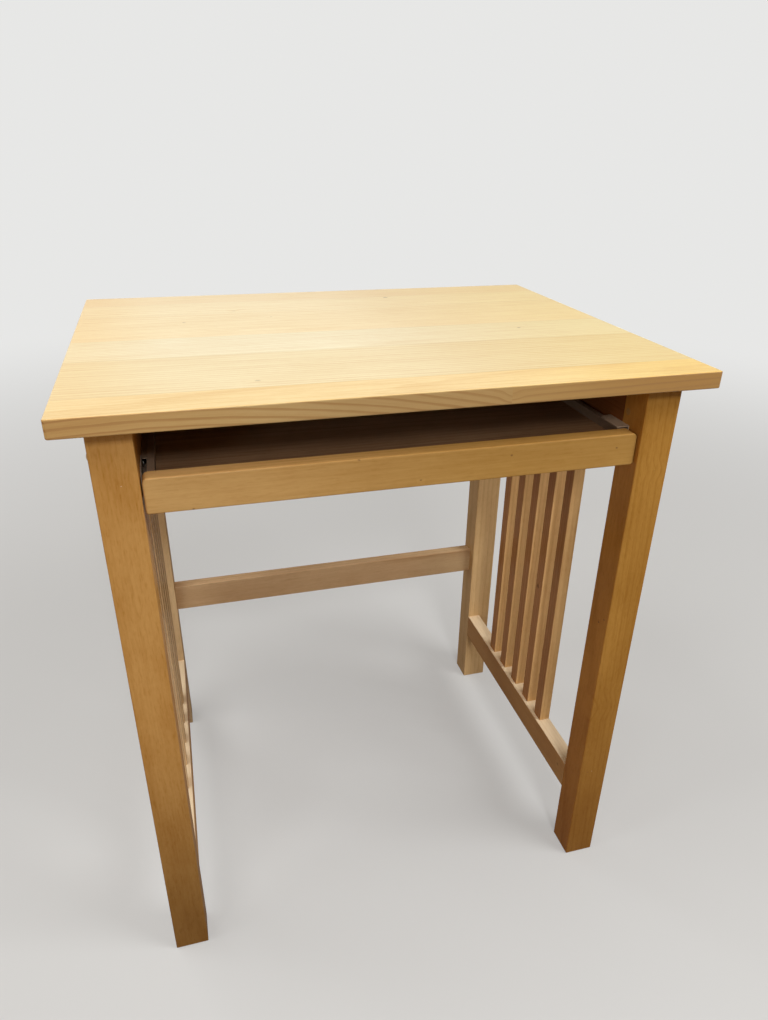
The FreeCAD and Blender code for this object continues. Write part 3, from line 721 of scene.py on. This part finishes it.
def coated_steel(name, colour):
    """Epoxy coat with a fine peel, grimy, and worn to steel at the bends."""
    material, tree, shader, coordinates = new_finish(name)
    place = coordinates["Object"]
    grime = place_effect(tree, speckle_effect, {
        "Place": place, "Scale": 45.0, "Detail": 4.0, "Roughness": 0.6,
        "Low": 0.4, "High": 0.75})["Share"]
    tint = blend_colour(
        tree, math_node(tree, "MULTIPLY", grime, grime_depth), (*colour, 1),
        (*[part * grime_tone for part in colour], 1))
    rubbed = place_effect(tree, rubbed_effect, {
        "Place": place, "Width": coat_wear_width})["Rubbed"]
    tint = blend_colour(tree, rubbed, tint, worn_steel)
    tree.links.new(tint, shader.inputs["Base Color"])
    peel = place_effect(tree, speckle_effect, {
        "Place": place, "Scale": 700.0, "Detail": 1.0})["Grain"]
    tree.links.new(add_node(tree, "ShaderNodeBump", {
        "Height": peel, "Strength": peel_bump,
        "Distance": peel_depth}).outputs[0], shader.inputs["Normal"])
    tree.links.new(math_node(tree, "ADD", math_node(
        tree, "MULTIPLY", grime, grime_dulling), coat_roughness),
        shader.inputs["Roughness"])
    return material


finish_with(coated_steel("brown_runner_coat", brown_coat),
            "left_fixed_runner", "right_fixed_runner")
# Painted shade: the tray's runners are coloured darker.
finish_with(coated_steel("shaded_runner_coat", shaded_coat),
            "left_tray_runner", "right_tray_runner")


# Rollers: dark brown nylon wheels with a dished face, turning on rivets.
# The front pair sits on the fixed runners and the rear pair on the tray's.
clean_nylon = (0.075, 0.055, 0.040, 1)
soiled_nylon = (0.045, 0.034, 0.026, 1)
soil_depth, soil_dulling, nylon_roughness = 0.4, 0.2, 0.35


def nylon(name):
    """Moulded nylon with grease and dust on it."""
    material, tree, shader, coordinates = new_finish(name)
    soil = place_effect(tree, speckle_effect, {
        "Place": coordinates["Object"], "Scale": 260.0, "Detail": 3.0,
        "Low": 0.35, "High": 0.75})["Share"]
    tree.links.new(blend_colour(
        tree, math_node(tree, "MULTIPLY", soil, soil_depth), clean_nylon,
        soiled_nylon), shader.inputs["Base Color"])
    tree.links.new(math_node(tree, "ADD", math_node(
        tree, "MULTIPLY", soil, soil_dulling), nylon_roughness),
        shader.inputs["Roughness"])
    return material


finish_with(nylon("roller_nylon"), "left_front_roller",
            "right_front_roller", "left_rear_roller", "right_rear_roller")


# Rivets: dulled zinc-plated steel axles for the rollers, put through the
# runners and headed over on both sides.
dull_zinc = (0.27, 0.26, 0.23, 1)
bright_zinc = (0.38, 0.36, 0.32, 1)
zinc_roughness, spangle_dulling = 0.38, 0.15


def zinc(name):
    """Zinc plating gone dull, with a fine spangle."""
    material, tree, shader, coordinates = new_finish(name)
    spangle = place_effect(tree, speckle_effect, {
        "Place": coordinates["Object"], "Scale": 900.0, "Detail": 3.0,
        "Roughness": 0.7, "Low": 0.3, "High": 0.7})["Share"]
    tree.links.new(blend_colour(tree, spangle, dull_zinc, bright_zinc),
                   shader.inputs["Base Color"])
    shader.inputs["Metallic"].default_value = 1.0
    tree.links.new(math_node(tree, "ADD", math_node(
        tree, "MULTIPLY", spangle, spangle_dulling), zinc_roughness),
        shader.inputs["Roughness"])
    return material


finish_with(zinc("rivet_plate"), "front_roller_axles", "rear_roller_axles")


# Screws: zinc-plated steel with a rolled thread, a pointed end and a cross
# recess. Short pan heads hold the runners, and longer ones come up through
# the rails into the desktop.
runner_screw = dict(head_radius=0.0035, head_height=0.0013,
                    thread_radius=0.0020, pitch=0.0014, plain=0.0)
desktop_screw = dict(head_radius=0.0045, head_height=0.0030,
                     thread_radius=0.00225, pitch=0.0020, plain=0.018)
runner_recess, desktop_recess = 0.0021, 0.0026
screw_groups = {
    "fixed_runner_screws": ("frame", runner_screw, runner_recess),
    "tray_runner_screws": ("tray", runner_screw, runner_recess),
    "desktop_screws": ("frame", desktop_screw, desktop_recess)}
# The head's outline is in shares of its radius and height, and the thread's
# root, plain shank, point and ridge in shares of its radius or pitch.
pan_head = ((0.30, 0.0), (0.62, 0.06), (0.85, 0.22), (0.97, 0.45),
            (1.0, 0.7), (1.0, 1.0))
thread_root, shank_share, point_share, blunt_tip = 0.70, 0.86, 2.2, 0.04
ridge_share, rows_a_turn = 0.25, 5
recess_arm, recess_taper, recess_depth = 0.19, 0.5, 0.8
weld_distance, smooth_up_to = 1e-6, math.radians(40)


def loose_solids(node):
    """The points of each separate solid in a CAD node, in a fixed order."""
    shape = bmesh.new()
    shape.from_mesh(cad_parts[node].data)
    bmesh.ops.remove_doubles(shape, verts=shape.verts, dist=weld_distance)
    found, solids = set(), []
    for start in shape.verts:
        if start in found:
            continue
        found.add(start)
        reached, points = [start], []
        while reached:
            vertex = reached.pop()
            points.append(vertex.co.copy())
            for edge in vertex.link_edges:
                other = edge.other_vert(vertex)
                if other not in found:
                    found.add(other)
                    reached.append(other)
        solids.append(points)
    shape.free()
    return solids


def screw_place(points):
    """A screw's crown, the way it points and its length, from its solid."""
    low = Vector([min(point[i] for point in points) for i in range(3)])
    high = Vector([max(point[i] for point in points) for i in range(3)])
    middle, extent = (low + high) / 2, high - low
    axis = max(range(3), key=lambda i: extent[i])
    widest = max(points, key=lambda point: sum(
        (point[i] - middle[i]) ** 2 for i in range(3) if i != axis))
    head_is_high = widest[axis] > middle[axis]
    crown, way = middle.copy(), Vector((0, 0, 0))
    crown[axis] = high[axis] if head_is_high else low[axis]
    way[axis] = -1.0 if head_is_high else 1.0
    return crown, way, extent[axis]


def closed_mesh(name, points, faces):
    """A mesh with its faces turned outwards."""
    mesh = bpy.data.meshes.new(name)
    mesh.from_pydata(points, [], faces)
    shape = bmesh.new()
    shape.from_mesh(mesh)
    bmesh.ops.recalc_face_normals(shape, faces=shape.faces)
    shape.to_mesh(mesh)
    shape.free()
    return mesh


def turned_screw(length, head_radius, head_height, thread_radius, pitch,
                 plain, around=24):
    """A pan head and threaded shank along Z, its crown at zero."""
    rows = [[(head_radius * share, head_height * depth)] * around
            for share, depth in pan_head]
    core = thread_radius * thread_root
    shank = length - head_height
    steps = round(shank / pitch * rows_a_turn)
    for step in range(steps + 1):
        z = head_height + shank * step / steps
        taper = min(1.0, (length - z) / (point_share * thread_radius)
                    + blunt_tip)
        row = []
        for spoke in range(around):
            phase = (z / pitch - spoke / around) % 1.0
            crest = max(0.0, 1.0 - abs(phase - 0.5) / ridge_share)
            radius = core + (thread_radius - core) * crest
            if z < head_height + plain:
                radius = thread_radius * shank_share
            row.append((radius * taper, z))
        rows.append(row)
    points = [(radius * math.cos(math.tau * spoke / around),
               radius * math.sin(math.tau * spoke / around), z)
              for row in rows for spoke, (radius, z) in enumerate(row)]
    faces = []
    for ring in range(len(rows) - 1):
        for spoke in range(around):
            following = (spoke + 1) % around
            faces.append((ring * around + spoke, ring * around + following,
                          (ring + 1) * around + following,
                          (ring + 1) * around + spoke))
    last = (len(rows) - 1) * around
    faces.append(tuple(range(around)))
    faces.append(tuple(range(last, last + around)))
    return closed_mesh("turned_screw", points, faces)


def cross_punch(reach, depth):
    """The tapered cross that a driver fits."""
    arm = reach * recess_arm
    outline = [(reach, arm), (arm, arm), (arm, reach), (-arm, reach),
               (-arm, arm), (-reach, arm), (-reach, -arm), (-arm, -arm),
               (-arm, -reach), (arm, -reach), (arm, -arm), (reach, -arm)]
    corners = len(outline)
    points = [(x, y, -depth / 4) for x, y in outline]
    points += [(x * recess_taper, y * recess_taper, depth)
               for x, y in outline]
    faces = [tuple(range(corners)), tuple(range(corners, 2 * corners))]
    for corner in range(corners):
        following = (corner + 1) % corners
        faces.append((corner, following, corners + following,
                      corners + corner))
    return closed_mesh("cross_punch", points, faces)


def punched(screw, punch):
    """The screw with the cross cut out of its crown."""
    blank = bpy.data.objects.new("blank", screw)
    tool = bpy.data.objects.new("tool", punch)
    for thing in (blank, tool):
        bpy.context.scene.collection.objects.link(thing)
    cut = blank.modifiers.new("recess", "BOOLEAN")
    cut.operation, cut.solver, cut.object = "DIFFERENCE", "EXACT", tool
    settled = blank.evaluated_get(bpy.context.evaluated_depsgraph_get())
    mesh = bpy.data.meshes.new_from_object(settled)
    for thing in (blank, tool):
        bpy.data.objects.remove(thing)
    return mesh


screw_plate = zinc("screw_plate")
spins = random.Random(11)
for node, (body, size, recess) in screw_groups.items():
    points, faces = [], []
    for solid in loose_solids(node):
        crown, way, length = screw_place(solid)
        if not points:
            driven = punched(turned_screw(length, **size), cross_punch(
                recess, size["head_height"] * recess_depth))
        turn = way.to_track_quat("Z", "Y").to_matrix().to_4x4()
        set_in = (Matrix.Translation(crown) @ turn
                  @ Matrix.Rotation(spins.uniform(0, math.tau), 4, "Z"))
        first = len(points)
        points += [set_in @ vertex.co for vertex in driven.vertices]
        faces += [tuple(first + corner for corner in face.vertices)
                  for face in driven.polygons]
    mesh = bpy.data.meshes.new(node)
    mesh.from_pydata(points, [], faces)
    mesh.shade_smooth()
    mesh.set_sharp_from_angle(angle=smooth_up_to)
    mesh.materials.append(screw_plate)
    screws = bpy.data.objects.new("detailed_" + node, mesh)
    bpy.context.scene.collection.objects.link(screws)
    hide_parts(node)
    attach(screws, body)


# Studio: a plain pale floor that runs out into the backdrop, soft lamps and
# the camera of the photograph.
backdrop_colour = (0.80, 0.80, 0.79, 1)
floor_colour, floor_bounce = (0.62, 0.62, 0.61, 1), (0.26, 0.20, 0.14, 1)
room_bounce = (0.18, 0.145, 0.11, 1)
floor_reach, fade_start, fade_end, near_glow = 30.0, 0.6, 3.6, 0.35


def seen_directly(tree):
    """One for rays from the camera, and for those off metal and glass."""
    paths = tree.nodes.new("ShaderNodeLightPath").outputs
    mirrored = math_node(tree, "MAXIMUM", paths["Is Glossy Ray"],
                         paths["Is Transmission Ray"])
    return math_node(tree, "MAXIMUM", paths["Is Camera Ray"], mirrored)


floor_mesh = bpy.data.meshes.new("floor")
floor_mesh.from_pydata(
    [(-floor_reach, -floor_reach, 0), (floor_reach, -floor_reach, 0),
     (floor_reach, floor_reach, 0), (-floor_reach, floor_reach, 0)],
    [], [(0, 1, 2, 3)])
floor = bpy.data.objects.new("floor", floor_mesh)
bpy.context.scene.collection.objects.link(floor)
floor_paper = bpy.data.materials.new("floor_paper")
floor_paper.use_nodes = True
floor_tree = floor_paper.node_tree
floor_shader = floor_tree.nodes["Principled BSDF"]
floor_seen = seen_directly(floor_tree)
floor_shader.inputs["Roughness"].default_value = 0.9
floor_shader.inputs["Specular IOR Level"].default_value = 0.1
floor_tree.links.new(blend_colour(
    floor_tree, floor_seen, floor_bounce, floor_colour),
    floor_shader.inputs["Base Color"])
glow = add_node(floor_tree, "ShaderNodeEmission", {"Color": backdrop_colour})
floor_place = floor_tree.nodes.new("ShaderNodeTexCoord").outputs["Object"]
distance = vector_node(floor_tree, "LENGTH", floor_place).outputs["Value"]
far_share = between(floor_tree, distance, fade_start, fade_end, near_glow)
floor_mix = add_node(floor_tree, "ShaderNodeMixShader", {
    0: math_node(floor_tree, "MULTIPLY", floor_seen, far_share),
    1: floor_shader.outputs[0], 2: glow.outputs[0]})
floor_tree.links.new(
    floor_mix.outputs[0],
    floor_tree.nodes["Material Output"].inputs["Surface"])
floor_mesh.materials.append(floor_paper)

world = bpy.data.worlds.new("studio")
bpy.context.scene.world = world
world.use_nodes = True
world_tree = world.node_tree
background = world_tree.nodes["Background"]
world_tree.links.new(blend_colour(
    world_tree, seen_directly(world_tree), room_bounce, backdrop_colour),
    background.inputs["Color"])


def soft_lamp(name, place, aim, size, power):
    """A square of soft light, in metres and watts."""
    lamp = bpy.data.lights.new(name, "AREA")
    lamp.shape = "SQUARE"
    lamp.size = size
    lamp.energy = power
    stand = bpy.data.objects.new(name, lamp)
    stand.location = place
    towards = Vector(aim) - Vector(place)
    stand.rotation_euler = towards.to_track_quat("-Z", "Y").to_euler()
    bpy.context.scene.collection.objects.link(stand)


soft_lamp("right_lamp", (1.25, -1.00, 2.05), (0, 0, 0.6), 0.9, 24.0)
soft_lamp("left_lamp", (-1.0, -0.1, 2.4), (0, 0, 0.7), 0.9, 18.5)
soft_lamp("front_lamp", (-0.12, -3.25, 2.68), (0, 0, 0.5), 0.6, 48.0)
soft_lamp("window_lamp", (-2.2, -2.4, 1.4), (0, 0, 0.5), 0.8, 9.5)
soft_lamp("back_lamp", (-1.7, 2.3, 1.9), (0, 0, 0.4), 0.9, 11.0)

camera_data = bpy.data.cameras.new("camera")
camera_data.sensor_width = 36.0
camera_data.lens = 26.452
camera_data.shift_x = -0.00619
camera_data.shift_y = 0.01442
camera = bpy.data.objects.new("camera", camera_data)
camera.location = (-0.22286, -0.92673, 0.98058)
camera.rotation_euler = (1.091567, -0.016273, -0.276149)
bpy.context.scene.collection.objects.link(camera)
bpy.context.scene.camera = camera

bpy.context.scene.view_settings.view_transform = "Standard"
